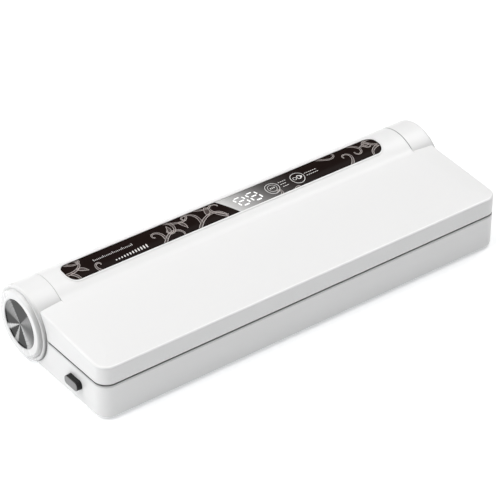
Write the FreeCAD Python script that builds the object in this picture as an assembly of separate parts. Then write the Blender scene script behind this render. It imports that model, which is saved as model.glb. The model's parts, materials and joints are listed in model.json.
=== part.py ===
import FreeCAD, Part
import math
import os

os.makedirs("parts", exist_ok=True)

V = FreeCAD.Vector

# A countertop vacuum sealer. X runs along its length, -Y is the front where the bag goes in, +Z is up.
# The origin is the centre of the footprint on the surface it stands on. Millimetres.

# ---- driving dimensions ----
HALF_LENGTH = 190.0        # half of the body's length
BARREL_R = 31.1            # the round barrel along the rear edge
BODY_DEPTH = 134.6         # front face to the back of the barrel
FOOT_H = 2.0               # the casing's underside stands this far above the surface
SPLIT_Z = 32.4             # middle of the gap between lid and base
SPLIT_GAP = 1.2
LID_FRONT_TOP = 48.25      # top of the lid's front face
BAND_DEPTH = 16.0          # front bevel along the lid's top
BAND_RISE = 1.8
LID_SLOPE = 0.072          # rise of the lid's top per mm towards the rear
LID_BLEND_R = 15.0         # hollow blend between the lid's top and the barrel
EDGE_R = 1.8               # rounding of the lid's upper edges
FACET_REAR_X = 170.0       # where the lid's sloping end facet starts at the rear
FACET_FRONT_X = 175.0      # and at the front bevel
FACET_DROP = 1.1           # how far the facet falls at the lid's end
CORNER_R = 11.0            # upright front corners
WALL = 2.4
BARREL_WALL = 2.2
KNUCKLE_L = 20.0           # length of each fixed end drum of the barrel
TURN_GAP = 0.4             # clearance of the turning barrel from the base
REAR_SEAM = -10.0          # angle of the seam behind the barrel, from the rear over the top
FRONT_SEAM = 178.5         # angle of the hidden seam in front
DISC_R = 20.0              # spun-metal disc in each end
CAP_OUT = 4.9              # how far the end bezel stands out of the side face
PIN_R = 5.0                # hinge pin
PIN_BORE_R = 3.2
BUSH_R = 7.5
RUNNING_FIT = 0.05         # radial clearance of a turning fit

# ---- places worked out from them ----
FRONT_Y = -BODY_DEPTH / 2
AXIS_Y = BODY_DEPTH / 2 - BARREL_R
AXIS_Z = BARREL_R + 0.3
BASE_TOP = SPLIT_Z - SPLIT_GAP / 2
LID_BOTTOM = SPLIT_Z + SPLIT_GAP / 2
SEAM_X = HALF_LENGTH - KNUCKLE_L           # the drum's inner face
LID_END_X = SEAM_X - TURN_GAP + 0.1        # the lid barrel's end face
BULKHEAD = 3.0                             # end wall of the lid's barrel
WEB = 2.7                                  # inner end wall of each fixed drum
BARREL_IN = BARREL_R - BARREL_WALL         # inner radius of the barrel's shell
CLEAR_R = BARREL_R + TURN_GAP              # hollow that the lid's barrel turns in
ROOM_HALF = LID_END_X - BULKHEAD           # half length of the room in the lid's barrel
SIDES = {"left": -1, "right": 1}

# ---- fasteners, cover and inlet ----
COVER_X = 184.5            # the bottom cover's half length
COVER_Y = (-62.0, 16.5)
COVER_T = 2.2
BOSS_R = 3.4
BOSS_BORE_R = 1.5
BOSS_TOP = 14.0            # of the base's screw bosses
SCREW_HOLE_R = 1.7
SCREW_HEAD_R = 3.0         # counterbore for a screw's head
SCREW_TOP = 10.5
BASE_SCREWS = [(x, y) for x in (-150, 0, 150) for y in (-60.5, 10.0)]
COVER_SCREWS = [(x, AXIS_Y + dy) for x in (-158, 158) for dy in (-17, 17)]
PANEL_SCREWS = [(x, y) for x in (-182, 182) for y in (-46, -10)]
FRONT_FOOT = (165.0, -50.0)
FOOT_R = 6.0
PAD_R = 5.0
PAD_X = 180.0
PAD_T = 1.6
INLET_Y = -9.0
INLET_Z = 15.0
INLET_HALF = (8.1, 5.1)    # half width and height of the inlet's body
INLET_WELL_R = 3.9         # end radius of its figure-8 socket
INLET_DEPTH = 11.0
LEAD_X = 182.0             # the leads run here, from the base into the drums
LEAD_Z = 24.4
LEAD_R = 1.5
LEAD_BEND = 3.2

# ---- the deck in the base, where the bag is sealed ----
DECK_TOP = 30.6
DECK_T = 3.6
LEDGE_Z = (25.0, 27.0)     # the ledge round the wall that the deck rests on
LEDGE_W = 1.8
TROUGH_X = 148.0
TROUGH_Y = (-35.0, -9.5)
TROUGH_FLOOR = 20.5
GASKET_OUT = (160.0, -44.0, -0.5)          # half length, front, rear
GASKET_IN = (152.5, -38.0, -6.5)
GROOVE_D = 2.0             # depth of the gaskets' grooves
GASKET_Z = (32.2, 32.6)    # the lower gasket's top and the upper one's underside
HEATER_Y = (-58.0, -49.0)
HEATER_X = 155.0
LID_PANEL_Z = (33.2, 36.2)
LID_TROUGH_D = 4.8         # depth of the trough in the lid's panel
TROUGH_WALL = 1.5
STRIP_D = 2.2              # depth of the rubber strip's groove
SENSOR_X = 174.0           # lid sensor in the deck, magnet above it in the lid
SENSOR_Y = -56.0

# ---- latches and release buttons ----
LATCH_Y = (-33.5, -28.5)
PIVOT_X = 176.0
PIVOT_Z = 8.2
LATCH_PIN_R = 1.5
BUTTON_Z = 18.0
BUTTON_Y = -31.8
BUTTON_L = 16.4
BUTTON_H = 7.4
BUTTON_OUT = 4.8           # how far it stands out of the side face
BUTTON_CORNER = 2.8
BUTTON_FIT = 0.15          # gap round it in the wall
BUTTON_WAIST = (2.0, 2.7)  # a groove round it, from and to this far out of the face
BUTTON_FLANGE = 1.2        # how far its inner flange reaches past it
BUTTON_BACK = WALL + 0.3   # the flange's face, this far inside the side face
HOOK_TOP = 27.0
HOOK_T = 2.0
HOOK_NOSE = 3.2            # how far the hook's nose reaches out from its middle
CATCH_X = (179.6, 181.4)   # the catch's post, just outside the hook's nose
CATCH_GAP = 0.6            # between hook and catch while the lid is not pressed down
SLOT_X = (169.5, 182.6)    # the deck's slot for hook and catch
SPRING_X = PIVOT_X - 10.0
TAIL_Z = 14.0              # underside of the hook's tail, over its spring

# ---- panel on the barrel ----
PANEL_X = (-154.8, 147.8)
PANEL_Y = (23.3, 43.7)
PANEL_CORNER = 8.0
PANEL_R = BARREL_R - 0.15
PANEL_T = 1.0
PANEL_GAP = 0.1            # between the overlay and its recess
LIP_W = 1.2                # the raised lip round the recess
LIP_H = 0.25
WINDOW_HALF = 8.4          # half width of the opening under the display and keys
KEY_TILT = 8.0             # the keys and display face this far forward of straight up
KEY_X = {"mode": 39.8, "seal": 64.8}
KEY_R = 6.4
KEY_TRAVEL = 0.5
DISPLAY_BOARD = (23.0, 24.4)               # its under and upper side, from the barrel's axis
SWITCH_TOP = 26.9          # top of the switches, from the barrel's axis
SKIRT_Z = (27.9, 29.0)     # the skirt under each key, from the barrel's axis
DISPLAY_X = (1.5, 31.0)

# ---- pump and boards in the barrel ----
NOZZLE_X = -118.0          # where the upper trough is emptied of air
NOZZLE_Y = -22.0
HOSE_Z = 43.6
HOSE_R = 3.5
HOSE_BEND = 16.0
BARB_R = 2.3
BARB_BORE_R = 1.3
PUMP_X = (-136.0, -100.0)
PUMP_Z = (AXIS_Z - 14.0, AXIS_Z + 10.0)
PUMP_HALF = 15.0
PUMP_PORT_Y = AXIS_Y - PUMP_HALF
PUMP_PORT_Z = HOSE_Z - 5.0
MOTOR_X = (-98.0, -44.0)
MOTOR_R = 13.8
SHAFT_R = 1.5
CRANK_X = (-110.0, -106.0)
BOARD_X = (-30.0, 130.0)
BOARD_Z = AXIS_Z - 14.0
BOARD_T = 1.6


# ---- shared shapes ----
def block(x0, x1, y0, y1, z0, z1):
    """A box between two corners."""
    return Part.makeBox(x1 - x0, y1 - y0, z1 - z0, V(x0, y0, z0))


def rod_x(radius, x0, x1, y=AXIS_Y, z=AXIS_Z):
    """A cylinder along X, on the barrel's axis unless told otherwise."""
    return Part.makeCylinder(radius, x1 - x0, V(x0, y, z), V(1, 0, 0))


def rod_y(radius, x, z, y0, y1):
    """A cylinder along Y."""
    return Part.makeCylinder(radius, y1 - y0, V(x, y0, z), V(0, 1, 0))


def rod_z(radius, x, y, z0, z1):
    """An upright cylinder."""
    return Part.makeCylinder(radius, z1 - z0, V(x, y, z0), V(0, 0, 1))


def both_ends(radius, x0, x1):
    """The same disc on the barrel's axis at both ends of the machine."""
    return rod_x(radius, x0, x1).fuse(rod_x(radius, -x1, -x0))


def rounded(x0, x1, y0, y1, z0, z1, radius):
    """A box whose four upright edges are rounded."""
    body = block(x0, x1, y0, y1, z0, z1)
    upright = [e for e in body.Edges if abs(e.tangentAt(e.FirstParameter).z) > 0.99]
    return body.makeFillet(radius, upright)


def prism_x(points, x0, x1):
    """A closed outline in the YZ plane, extruded along X."""
    wire = Part.makePolygon([V(x0, y, z) for y, z in points + points[:1]])
    return Part.Face(wire).extrude(V(x1 - x0, 0, 0))


def turned(points, side):
    """A profile of (distance from the barrel's middle, radius), turned about the barrel's axis."""
    corners = [V(side * x, AXIS_Y, AXIS_Z + r) for x, r in points + points[:1]]
    return Part.Face(Part.makePolygon(corners)).revolve(V(0, AXIS_Y, AXIS_Z), V(1, 0, 0), 360)


def on_axis(angle, radius):
    """The point (y, z) at an angle round the barrel, measured from the rear over the top."""
    turn = math.radians(angle)
    return AXIS_Y + radius * math.cos(turn), AXIS_Z + radius * math.sin(turn)


def panel_frame(shape):
    """Move a shape built with z as the distance from the barrel's axis to where the keys face."""
    shape.rotate(V(0, 0, 0), V(1, 0, 0), KEY_TILT)
    shape.translate(V(0, AXIS_Y, AXIS_Z))
    return shape


def mirrored(shape, side):
    """A piece modelled at the right end, put at the end asked for."""
    return shape if side > 0 else shape.mirror(V(0, 0, 0), V(1, 0, 0))


def tube_path(points, radius, bend):
    """A round lead along straight runs joined by tangent arcs."""
    edges = []
    start = points[0]
    for before, corner, after in zip(points, points[1:], points[2:]):
        arrive = (corner - before).normalize()
        leave = (after - corner).normalize()
        half = arrive.getAngle(leave) / 2
        cut = bend * math.tan(half)
        first = corner - arrive * cut
        last = corner + leave * cut
        middle = corner + (leave - arrive).normalize() * (bend / math.cos(half) - bend)
        edges.append(Part.LineSegment(start, first).toShape())
        edges.append(Part.Arc(first, middle, last).toShape())
        start = last
    edges.append(Part.LineSegment(start, points[-1]).toShape())
    ring = Part.Wire(Part.Circle(points[0], points[1] - points[0], radius).toShape())
    return Part.Wire(edges).makePipeShell([ring], True, False)


def save(name, shape):
    """Write one piece to its own file."""
    shape.exportStep("parts/" + name + ".step")
    print(name, len(shape.Solids), round(shape.Volume), shape.isValid())


# ---- outer forms ----
def plan_corners(z0, z1, inset=0.0):
    """The machine's plan with its two rounded front corners, as an upright prism."""
    half = HALF_LENGTH - inset
    body = block(-half, half, FRONT_Y + inset, AXIS_Y, z0, z1)
    front = [e for e in body.Edges
             if abs(e.tangentAt(e.FirstParameter).z) > 0.99 and e.Vertexes[0].Y < 0]
    return body.makeFillet(CORNER_R - inset, front)


def lid_top(y):
    """Height of the lid's main top face at a distance from front to rear."""
    return LID_FRONT_TOP + BAND_RISE + LID_SLOPE * (y - FRONT_Y - BAND_DEPTH)


def lid_profile(inset, floor):
    """The flat plate's outline, with the front bevel, kept a wall's thickness inside when inset."""
    band_y = FRONT_Y + BAND_DEPTH
    return [(FRONT_Y + inset, floor), (FRONT_Y + inset, LID_FRONT_TOP - inset),
            (band_y, lid_top(band_y) - inset), (AXIS_Y, lid_top(AXIS_Y) - inset), (AXIS_Y, floor)]


def end_facet(side):
    """What the sloping end facet takes off the lid's top."""
    rear_y = AXIS_Y - 20
    front_y = FRONT_Y + BAND_DEPTH
    run = (FACET_FRONT_X - FACET_REAR_X) / (front_y - rear_y)

    def at(x, y):
        inner = FACET_REAR_X + run * (y - rear_y)
        fall = FACET_DROP * (x - inner) / (HALF_LENGTH - FACET_REAR_X)
        return V(side * x, y, lid_top(y) - fall)

    y0 = FRONT_Y - 5
    y1 = AXIS_Y + 5
    corners = [at(FACET_REAR_X + run * (y0 - rear_y), y0), at(HALF_LENGTH + 5, y0),
               at(HALF_LENGTH + 5, y1), at(FACET_REAR_X + run * (y1 - rear_y), y1)]
    return Part.Face(Part.makePolygon(corners + corners[:1])).extrude(V(0, 0, 20))


def on_upper_rim(box):
    """Whether an edge's box lies on the lid's upper rim: front, corners or ends."""
    nearest = min(abs(box.XMin), abs(box.XMax))
    at_corner = nearest > HALF_LENGTH - CORNER_R - 0.1
    front = box.YMax < FRONT_Y + CORNER_R + 0.1 and (at_corner or box.YLength < 0.1)
    end = nearest > HALF_LENGTH - 0.1
    return box.ZMin > LID_FRONT_TOP - 0.5 and (front or end)


def lid_blend():
    """The hollow curve that runs from the lid's flat top up on to the barrel."""
    axis = V(0, AXIS_Y, AXIS_Z)
    up = V(0, -LID_SLOPE, 1).normalize()
    along = V(0, 1, LID_SLOPE).normalize()
    base = V(0, 0, lid_top(0)) + up * LID_BLEND_R
    to_base = base - axis
    reach = BARREL_R + LID_BLEND_R
    half_b = along.dot(to_base)
    run = -half_b - math.sqrt(half_b ** 2 - to_base.dot(to_base) + reach ** 2)
    centre = base + along * run
    on_plate = centre - up * LID_BLEND_R
    on_barrel = axis + (centre - axis).normalize() * BARREL_R
    towards = ((on_plate - centre) + (on_barrel - centre)).normalize()
    middle = centre + towards * LID_BLEND_R
    inner = [V(0, p.y, lid_top(p.y) - 1) for p in (on_barrel, on_plate)]
    edges = [Part.Arc(on_plate, middle, on_barrel).toShape()]
    for start, end in zip([on_barrel] + inner, inner + [on_plate]):
        edges.append(Part.LineSegment(start, end).toShape())
    wedge = Part.Face(Part.Wire(edges)).extrude(V(2 * LID_END_X, 0, 0))
    wedge.translate(V(-LID_END_X, 0, 0))
    return wedge


def lid_outer():
    """The lid's solid outside: plate, end facets, rounded edges and the turning barrel."""
    plate = prism_x(lid_profile(0, LID_BOTTOM), -HALF_LENGTH, HALF_LENGTH)
    for side in SIDES.values():
        plate = plate.cut(end_facet(side))
    plate = plate.common(plan_corners(0, 80))
    plate = plate.makeFillet(EDGE_R, [edge for edge in plate.Edges if on_upper_rim(edge.BoundBox)])
    plate = plate.cut(both_ends(CLEAR_R, LID_END_X, HALF_LENGTH + 1))
    barrel = rod_x(BARREL_R, -LID_END_X, LID_END_X)
    return plate.fuse(barrel).fuse(lid_blend()).removeSplitter()


def under_sector(half, rear_angle, front_angle):
    """The barrel's underside as a wedge about its axis, from the rear seam to the front seam."""
    reach = 2 * BARREL_R
    angles = [rear_angle, -45, -90, -135, front_angle - 360]
    return prism_x([(AXIS_Y, AXIS_Z)] + [on_axis(a, reach) for a in angles], -half, half)


def panel_plan(grow, z0, z1):
    """The panel's plan with its rounded corners, grown or shrunk all round."""
    x0, x1 = PANEL_X
    y0, y1 = PANEL_Y
    return rounded(x0 - grow, x1 + grow, y0 - grow, y1 + grow, z0, z1, PANEL_CORNER + grow)


def barrel_skin(r_in, r_out):
    """A full-length tube about the barrel's axis."""
    return rod_x(r_out, -SEAM_X, SEAM_X).cut(rod_x(r_in, -SEAM_X, SEAM_X))


def lid_shell():
    """Plate and upper barrel in one moulding, hollow underneath."""
    outer = lid_outer()
    plate_room = prism_x(lid_profile(WALL, LID_BOTTOM - 1), -HALF_LENGTH, HALF_LENGTH)
    plate_room = plate_room.common(plan_corners(0, 80, WALL))
    plate_room = plate_room.cut(rod_x(CLEAR_R + WALL, ROOM_HALF, HALF_LENGTH))
    plate_room = plate_room.cut(rod_x(CLEAR_R + WALL, -HALF_LENGTH, -ROOM_HALF))
    shell = outer.cut(plate_room).cut(rod_x(BARREL_IN, -ROOM_HALF, ROOM_HALF))
    shell = shell.cut(under_sector(ROOM_HALF, REAR_SEAM, FRONT_SEAM))
    lip = panel_plan(PANEL_GAP + LIP_W, AXIS_Z, 80).cut(panel_plan(PANEL_GAP, AXIS_Z - 1, 81))
    shell = shell.fuse(barrel_skin(BARREL_R - 0.5, BARREL_R + LIP_H).common(lip))
    shell = shell.cut(panel_plan(PANEL_GAP, AXIS_Z, 80).common(barrel_skin(PANEL_R - PANEL_T, BARREL_R + 1)))
    window = panel_frame(block(DISPLAY_X[0] - 1.5, KEY_X["seal"] + KEY_R + 3,
                               -WINDOW_HALF, WINDOW_HALF, 20, 40))
    shell = shell.cut(window)
    for x, y in COVER_SCREWS:
        boss = rod_z(BOSS_R, x, y, AXIS_Z - 5, AXIS_Z + 25).common(rod_x(BARREL_IN + 0.5, -SEAM_X, SEAM_X))
        shell = shell.fuse(boss).cut(rod_z(BOSS_BORE_R, x, y, AXIS_Z - 6, AXIS_Z + 8))
    shell = shell.cut(both_ends(BUSH_R, ROOM_HALF - 1, SEAM_X))
    return shell.removeSplitter()


def barrel_cover():
    """The barrel's lower half, screwed up into the lid."""
    half = ROOM_HALF - 0.2
    cover = rod_x(BARREL_R, -half, half).cut(rod_x(BARREL_IN, -half - 1, half + 1))
    cover = cover.common(under_sector(half, REAR_SEAM - 0.4, FRONT_SEAM + 0.4))
    for x, y in COVER_SCREWS:
        boss = rod_z(4.2, x, y, 0, AXIS_Z - 5.2).common(rod_x(BARREL_R, -half, half))
        cover = cover.fuse(boss)
        cover = cover.cut(rod_z(SCREW_HOLE_R, x, y, 0, AXIS_Z))
        cover = cover.cut(rod_z(SCREW_HEAD_R, x, y, 0, 13.0))
    return cover.removeSplitter()


def screw(x, y, head_z, shaft_top, head_r=2.7, head_h=2.0, shaft_r=1.45):
    """A pan-head screw driven upwards, with a cross recess in its head."""
    body = rod_z(head_r, x, y, head_z, head_z + head_h).fuse(rod_z(shaft_r, x, y, head_z, shaft_top))
    slot_l = head_r * 1.2
    for half_x, half_y in ((slot_l, 0.3), (0.3, slot_l)):
        body = body.cut(block(x - half_x, x + half_x, y - half_y, y + half_y, head_z - 1, head_z + 0.9))
    return body


def group(shapes):
    """Several separate solids kept together as one piece of hardware."""
    return Part.makeCompound(shapes)


# ---- base ----


def base_casing():
    """Front, left and right walls, the curved rear wall and the two fixed drums."""
    tub = plan_corners(FOOT_H, BASE_TOP)
    under = [e for e in tub.Edges if e.BoundBox.ZMax < FOOT_H + 0.1 and e.BoundBox.YMin < AXIS_Y - 1]
    tub = tub.makeFillet(2.0, under)
    drums = both_ends(BARREL_R, SEAM_X, HALF_LENGTH)
    room = plan_corners(FOOT_H, LEDGE_Z[0], WALL)
    room = room.fuse(plan_corners(LEDGE_Z[0] - 0.1, LEDGE_Z[1], WALL + LEDGE_W))
    room = room.fuse(plan_corners(LEDGE_Z[1] - 0.1, BASE_TOP + 1, WALL))
    room = room.cut(rod_x(CLEAR_R + BARREL_WALL, -HALF_LENGTH, HALF_LENGTH))
    casing = tub.fuse(drums).cut(room)
    casing = casing.cut(both_ends(BARREL_IN, SEAM_X + WEB, HALF_LENGTH + 1))
    floor = rounded(-COVER_X - 0.3, COVER_X + 0.3, COVER_Y[0] - 0.3, COVER_Y[1] + 0.3,
                    FOOT_H - 1, FOOT_H + COVER_T + 0.2, 8.0)
    casing = casing.cut(floor)
    boss_foot = FOOT_H + COVER_T + 0.2
    for x, y in BASE_SCREWS:
        boss = rod_z(BOSS_R, x, y, boss_foot, BOSS_TOP)
        if y < 0:
            boss = boss.fuse(block(x - 0.8, x + 0.8, FRONT_Y + 1, y, boss_foot, BOSS_TOP))
        casing = casing.fuse(boss).cut(rod_z(BOSS_BORE_R, x, y, 0, SCREW_TOP + 0.5))
    casing = casing.cut(rod_x(CLEAR_R, -SEAM_X, SEAM_X))
    casing = casing.fuse(both_ends(8.5, SEAM_X, SEAM_X + 7)).cut(both_ends(PIN_R, SEAM_X - 1, SEAM_X + 8))
    for side in SIDES.values():
        slot = button_outline(BUTTON_FIT, -5, 5)
        casing = casing.cut(to_side_face(slot, side, BUTTON_Y, BUTTON_Z))
        casing = casing.cut(rod_y(2.4, side * LEAD_X, LEAD_Z, -1, 12))
        casing = casing.cut(rod_z(PAD_R + 0.2, side * PAD_X, AXIS_Y, 0, PAD_T))
    half_w, half_h = INLET_HALF
    inlet_hole = rounded(-half_w - 0.1, half_w + 0.1, -half_h - 0.1, half_h + 0.1, -5, 5, 2.0)
    return casing.cut(to_side_face(inlet_hole, 1, INLET_Y, INLET_Z)).removeSplitter()


def to_side_face(shape, side, y, z):
    """Turn a shape drawn flat, about the origin, so that it lies on a side face."""
    shape.rotate(V(0, 0, 0), V(0, 0, 1), 90)
    shape.rotate(V(0, 0, 0), V(0, 1, 0), 90)
    shape.translate(V(HALF_LENGTH, y, z))
    return mirrored(shape, side)


def bottom_cover():
    """The flat plate that closes the base from below."""
    plate = rounded(-COVER_X, COVER_X, COVER_Y[0], COVER_Y[1], FOOT_H, FOOT_H + COVER_T, 7.7)
    for x, y in BASE_SCREWS:
        plate = plate.cut(rod_z(SCREW_HEAD_R + 0.1, x, y, 0, FOOT_H + 1.1))
        plate = plate.cut(rod_z(SCREW_HOLE_R, x, y, 0, BOSS_TOP))
    for x in (-FRONT_FOOT[0], FRONT_FOOT[0]):
        plate = plate.cut(rod_z(FOOT_R + 0.2, x, FRONT_FOOT[1], 0, FOOT_H + 1.0))
    for row in range(9):
        x = -32 + 8 * row
        plate = plate.cut(rounded(x - 1.2, x + 1.2, -45, -25, 0, 10, 1.19))
    for side in SIDES.values():
        seat = rod_z(3.2, side * SPRING_X, BUTTON_Y, FOOT_H + COVER_T, FOOT_H + COVER_T + 0.8)
        seat = seat.cut(rod_z(2.5, side * SPRING_X, BUTTON_Y, FOOT_H + COVER_T, FOOT_H + COVER_T + 1))
        plate = plate.fuse(seat)
    return plate.removeSplitter()


def rubber_feet():
    """Round feet under the front and thin pads under the two drums."""
    feet = []
    for x in (-FRONT_FOOT[0], FRONT_FOOT[0]):
        foot = rod_z(FOOT_R, x, FRONT_FOOT[1], 0, FOOT_H + 1.0)
        feet.append(foot.makeChamfer(0.6, [foot.Edges[2]]))
    for side in SIDES.values():
        feet.append(rod_z(PAD_R, side * PAD_X, AXIS_Y, 0, PAD_T))
    return group(feet)


def ring(outer, inner, z0, z1):
    """A rounded rectangular ring lying flat round the trough."""
    x1, front, rear = outer
    hole_x, hole_front, hole_rear = inner
    body = rounded(-x1, x1, front, rear, z0, z1, 8.0)
    return body.cut(rounded(-hole_x, hole_x, hole_front, hole_rear, z0 - 1, z1 + 1, 5.0))


def seal_deck():
    """The working face of the base: trough, gasket groove, heater channel and latch slots."""
    low = DECK_TOP - DECK_T
    deck = plan_corners(low, DECK_TOP, WALL + 0.2)
    deck = deck.cut(rod_x(CLEAR_R + BARREL_WALL + 0.2, -HALF_LENGTH, HALF_LENGTH))
    y0, y1 = TROUGH_Y
    deck = deck.fuse(rounded(-TROUGH_X - 2, TROUGH_X + 2, y0 - 2, y1 + 2, TROUGH_FLOOR - 1.8, low + 1, 8.0))
    deck = deck.fuse(block(-HEATER_X - 2, HEATER_X + 2, HEATER_Y[0] - 2, HEATER_Y[1] + 2, low - 2, low + 1))
    deck = deck.cut(rounded(-TROUGH_X, TROUGH_X, y0, y1, TROUGH_FLOOR, DECK_TOP + 1, 6.0))
    deck = deck.cut(ring(GASKET_OUT, GASKET_IN, DECK_TOP - GROOVE_D, DECK_TOP + 1))
    deck = deck.cut(block(-HEATER_X, HEATER_X, HEATER_Y[0], HEATER_Y[1], low - 0.2, DECK_TOP + 1))
    for side in SIDES.values():
        x0, x1 = sorted((side * SLOT_X[0], side * SLOT_X[1]))
        deck = deck.cut(rounded(x0, x1, LATCH_Y[0] - 3.5, LATCH_Y[1] + 1.5, 0, 40, 1.5))
    deck = deck.cut(rod_z(2.6, SENSOR_X, SENSOR_Y, low - 1, DECK_TOP - 1.0))
    return deck.removeSplitter()


def heater_bar():
    """Heat-proof bar in the deck's channel, with a groove for the strip."""
    bar = block(-HEATER_X + 0.2, HEATER_X - 0.2, HEATER_Y[0] + 0.2, HEATER_Y[1] - 0.2, 26.8, 31.0)
    middle = sum(HEATER_Y) / 2
    return bar.cut(block(-HEATER_X, HEATER_X, middle - 1.6, middle + 1.6, 30.8, 32))


def heater_tape():
    """Non-stick tape over the bar, folded down its two long sides."""
    y0, y1 = HEATER_Y
    tape = block(-HEATER_X + 3, HEATER_X - 3, y0 + 0.05, y1 - 0.05, 29.0, 31.3)
    return tape.cut(block(-HEATER_X, HEATER_X, y0 + 0.2, y1 - 0.2, 28.0, 31.15))


def heater_terminals():
    """A metal clamp at each end of the heating strip."""
    middle = sum(HEATER_Y) / 2
    clamps = []
    for side in SIDES.values():
        x0, x1 = sorted((side * (HEATER_X - 2.8), side * (HEATER_X - 0.4)))
        clamps.append(block(x0, x1, middle - 3.5, middle + 3.5, 31.0, 31.5))
    return group(clamps)


# ---- latch and button ----


def button_outline(grow, z0, z1):
    """The button's rounded outline, grown or shrunk all round."""
    half_l = BUTTON_L / 2 + grow
    half_h = BUTTON_H / 2 + grow
    return rounded(-half_l, half_l, -half_h, half_h, z0, z1, BUTTON_CORNER + grow)


def release_button(side):
    """A push button through the side wall: waisted cap, flange that keeps it in, short stem."""
    body = button_outline(0, -BUTTON_BACK - 0.1, BUTTON_WAIST[0])
    waist = button_outline(-0.6, BUTTON_WAIST[0] - 0.1, BUTTON_WAIST[1] + 0.1)
    cap = button_outline(-0.1, BUTTON_WAIST[1], BUTTON_OUT)
    cap = cap.makeFillet(0.5, [e for e in cap.Edges if e.BoundBox.ZMin > BUTTON_OUT - 0.01])
    flange = button_outline(BUTTON_FLANGE, -BUTTON_BACK - 1.5, -BUTTON_BACK)
    stem_end = -(HALF_LENGTH - PIVOT_X - HOOK_T / 2 - 0.5)
    stem = rounded(-2, 2, -1, 1, stem_end, -BUTTON_BACK - 1.2, 0.99)
    button = body.fuse([waist, cap, flange, stem])
    return to_side_face(button, side, BUTTON_Y, BUTTON_Z).removeSplitter()


def latch_hook(side):
    """A lever on a pin: nose outwards at the top, tail over the spring that holds it out."""
    y0, y1 = LATCH_Y
    lever = block(PIVOT_X - HOOK_T / 2, PIVOT_X + HOOK_T / 2, y0, y1, PIVOT_Z, HOOK_TOP)
    eye = rod_y(2.8, PIVOT_X, PIVOT_Z, y0, y1)
    tip = PIVOT_X + HOOK_NOSE
    nose = prism_y([(PIVOT_X, HOOK_TOP - 2.4), (tip, HOOK_TOP - 2.4), (tip, HOOK_TOP - 1.6),
                    (PIVOT_X + HOOK_T / 2, HOOK_TOP), (PIVOT_X, HOOK_TOP)], y0, y1)
    tail = block(SPRING_X - 2.6, PIVOT_X, y0, y1, TAIL_Z, TAIL_Z + 1.6)
    hook = lever.fuse(eye).fuse(nose).fuse(tail)
    eye_bore = rod_y(LATCH_PIN_R + RUNNING_FIT, PIVOT_X, PIVOT_Z, y0 - 1, y1 + 1)
    return mirrored(hook.cut(eye_bore).removeSplitter(), side)


def prism_y(points, y0, y1):
    """A closed outline in the XZ plane, extruded along Y."""
    wire = Part.makePolygon([V(x, y0, z) for x, z in points + points[:1]])
    return Part.Face(wire).extrude(V(0, y1 - y0, 0))


def latch_bracket(side):
    """A bracket screwed to the bottom cover, with two ears that carry the pivot pin."""
    y0, y1 = LATCH_Y
    floor = FOOT_H + COVER_T
    bracket = block(PIVOT_X - 3.5, PIVOT_X + 3.5, y0 - 2.2, y1 + 2.2, floor, PIVOT_Z + 3)
    bracket = bracket.cut(block(PIVOT_X - 4, PIVOT_X + 4, y0 - 0.3, y1 + 0.3, floor + 0.9, PIVOT_Z + 4))
    return mirrored(bracket.cut(rod_y(LATCH_PIN_R, PIVOT_X, PIVOT_Z, y0 - 3, y1 + 3)), side)


def latch_pin(side):
    """The pin that the hook turns on."""
    return mirrored(rod_y(LATCH_PIN_R, PIVOT_X, PIVOT_Z, LATCH_Y[0] - 2.2, LATCH_Y[1] + 2.2), side)


def latch_spring(side):
    """An upright compression spring between the bottom cover and the hook's tail."""
    bottom = FOOT_H + COVER_T + 0.25
    height = TAIL_Z - bottom - 0.3
    path = Part.makeHelix(height / 5, height, 1.9)
    path.translate(V(SPRING_X, BUTTON_Y, bottom))
    start = path.Vertexes[0].Point
    wire = Part.Wire(Part.Circle(start, V(0, 1, 0.12), 0.22).toShape())
    coil = Part.Wire(path.Edges).makePipeShell([wire], True, True)
    return mirrored(coil, side)


def lid_catch(side):
    """A post under the lid, its nose turned in, that goes under the hook when the lid is pressed."""
    y0, y1 = LATCH_Y[0] + 0.6, LATCH_Y[1] - 0.6
    top = LID_PANEL_Z[0]
    low = HOOK_TOP + CATCH_GAP
    inner, outer = CATCH_X
    outline = [(outer, top), (outer, low), (inner, low), (inner - 2.0, low + 1.0),
               (inner - 2.0, low + 1.6), (inner, low + 1.6), (inner, top)]
    return mirrored(prism_y(outline, y0, y1), side)


# ---- lid underside ----
def lid_inner_panel():
    """The lid's underside: upper trough, gasket groove and strip groove."""
    z0, z1 = LID_PANEL_Z
    panel = plan_corners(z0, z1, WALL + 0.2)
    panel = panel.cut(rod_x(CLEAR_R + WALL + 0.2, -HALF_LENGTH, HALF_LENGTH))
    y0, y1 = TROUGH_Y
    trough_top = z0 + LID_TROUGH_D
    panel = panel.fuse(rounded(-TROUGH_X - 2, TROUGH_X + 2, y0 - 2, y1 + 2, z1 - 1,
                               trough_top + TROUGH_WALL, 8.0))
    panel = panel.cut(rounded(-TROUGH_X, TROUGH_X, y0, y1, z0 - 1, trough_top, 6.0))
    panel = panel.cut(ring(GASKET_OUT, GASKET_IN, z0 - 1, z0 + GROOVE_D))
    panel = panel.cut(block(-HEATER_X, HEATER_X, HEATER_Y[0], HEATER_Y[1], z0 - 1, z0 + STRIP_D))
    panel = panel.cut(rod_z(2.1, NOZZLE_X, NOZZLE_Y, z0, z0 + 8))
    panel = panel.cut(rod_z(2.6, SENSOR_X, SENSOR_Y, z0 + 0.6, z1 + 1))
    for x, y in PANEL_SCREWS:
        panel = panel.cut(rod_z(SCREW_HOLE_R, x, y, z0 - 1, z1 + 1))
        panel = panel.cut(rod_z(SCREW_HEAD_R, x, y, z0 - 1, z0 + 1.2))
    return panel.removeSplitter()


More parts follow.
